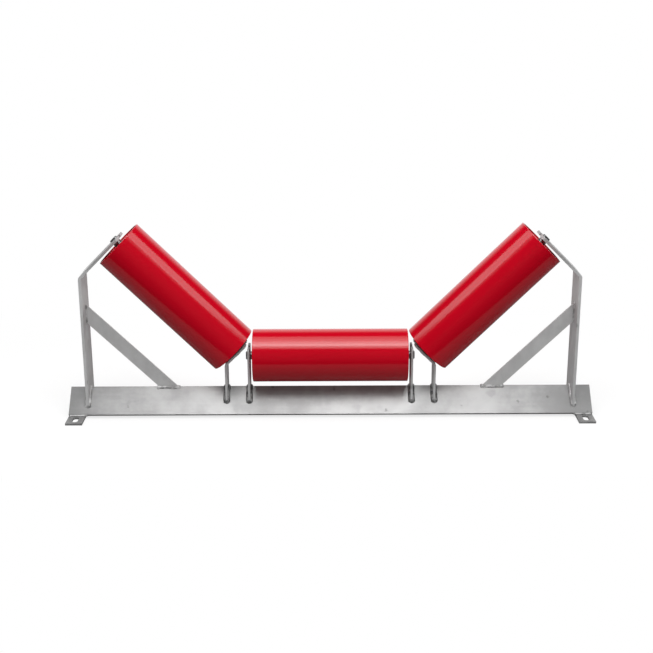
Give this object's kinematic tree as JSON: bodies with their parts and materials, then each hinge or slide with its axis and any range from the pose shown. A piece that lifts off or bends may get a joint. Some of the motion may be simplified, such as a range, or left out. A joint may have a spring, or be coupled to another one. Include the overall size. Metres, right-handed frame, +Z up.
{
  "type": "troughing idler set",
  "caption": "Trough-shaped conveyor idler: a centre roller and two tilted wing rollers turning on fixed shafts in a welded galvanised frame with slotted feet.",
  "frame": {"origin": "on the floor, under the middle of the base angle", "axes": "+X across the belt, along the base; +Y along the belt's travel; +Z up"},
  "size_m": [1.578, 0.243, 0.5805],
  "materials": {
    "galvanised": "hot-dip galvanised, dull silver grey with soft cloudy mottling",
    "weld": "galvanised weld bead, rippled, darker than the bars",
    "roller_paint": "semi-gloss red powder coat",
    "shaft_steel": "bright drawn steel bar",
    "bearing_steel": "ground bearing steel",
    "cage_brass": "pressed ball cage",
    "seal": "black moulded nylon"
  },
  "bodies": {
    "frame": {"base_angle": "galvanised", "left_foot": "galvanised", "right_foot": "galvanised", "left_post": "galvanised", "right_post": "galvanised", "left_brace": "galvanised", "right_brace": "galvanised", "left_wing_bracket": "galvanised", "right_wing_bracket": "galvanised", "left_centre_bracket": "galvanised", "right_centre_bracket": "galvanised", "post_welds": "weld", "brace_welds": "weld", "bracket_welds": "weld", "foot_welds": "weld", "left_roller_shaft": "shaft_steel", "left_roller_inner_rings": "bearing_steel", "left_roller_labyrinths": "seal", "left_roller_circlips": "bearing_steel", "centre_roller_shaft": "shaft_steel", "centre_roller_inner_rings": "bearing_steel", "centre_roller_labyrinths": "seal", "centre_roller_circlips": "bearing_steel", "right_roller_shaft": "shaft_steel", "right_roller_inner_rings": "bearing_steel", "right_roller_labyrinths": "seal", "right_roller_circlips": "bearing_steel"},
    "left_roller": {"left_roller_shell": "roller_paint", "left_roller_housings": "roller_paint", "left_roller_outer_rings": "bearing_steel", "left_roller_inner_seals": "seal", "left_roller_dust_caps": "seal"},
    "left_ball_cages": {"left_roller_ball_cages": "cage_brass", "left_roller_balls": "bearing_steel"},
    "centre_roller": {"centre_roller_shell": "roller_paint", "centre_roller_housings": "roller_paint", "centre_roller_outer_rings": "bearing_steel", "centre_roller_inner_seals": "seal", "centre_roller_dust_caps": "seal"},
    "centre_ball_cages": {"centre_roller_ball_cages": "cage_brass", "centre_roller_balls": "bearing_steel"},
    "right_roller": {"right_roller_shell": "roller_paint", "right_roller_housings": "roller_paint", "right_roller_outer_rings": "bearing_steel", "right_roller_inner_seals": "seal", "right_roller_dust_caps": "seal"},
    "right_ball_cages": {"right_roller_ball_cages": "cage_brass", "right_roller_balls": "bearing_steel"}
  },
  "joints": [
    {"name": "left_roller_spin", "type": "hinge", "parent": "frame", "child": "left_roller", "pos_m": [-0.45732, 0, 0.36049], "axis": [0.7071, 0, -0.7071], "continuous": true},
    {"name": "centre_roller_spin", "type": "hinge", "parent": "frame", "child": "centre_roller", "pos_m": [0, 0, 0.1768], "axis": [1, 0, 0], "continuous": true},
    {"name": "right_roller_spin", "type": "hinge", "parent": "frame", "child": "right_roller", "pos_m": [0.45732, 0, 0.36049], "axis": [0.7071, 0, 0.7071], "continuous": true},
    {"name": "left_cage_spin", "type": "hinge", "parent": "frame", "child": "left_ball_cages", "pos_m": [-0.45732, 0, 0.36049], "axis": [0.7071, 0, -0.7071], "continuous": true},
    {"name": "centre_cage_spin", "type": "hinge", "parent": "frame", "child": "centre_ball_cages", "pos_m": [0, 0, 0.1768], "axis": [1, 0, 0], "continuous": true},
    {"name": "right_cage_spin", "type": "hinge", "parent": "frame", "child": "right_ball_cages", "pos_m": [0.45732, 0, 0.36049], "axis": [0.7071, 0, 0.7071], "continuous": true}
  ],
  "couplings": [
    {"joint": "left_cage_spin", "follows": "left_roller_spin", "ratio": 0.63218},
    {"joint": "centre_cage_spin", "follows": "centre_roller_spin", "ratio": 0.63218},
    {"joint": "right_cage_spin", "follows": "right_roller_spin", "ratio": 0.63218}
  ]
}
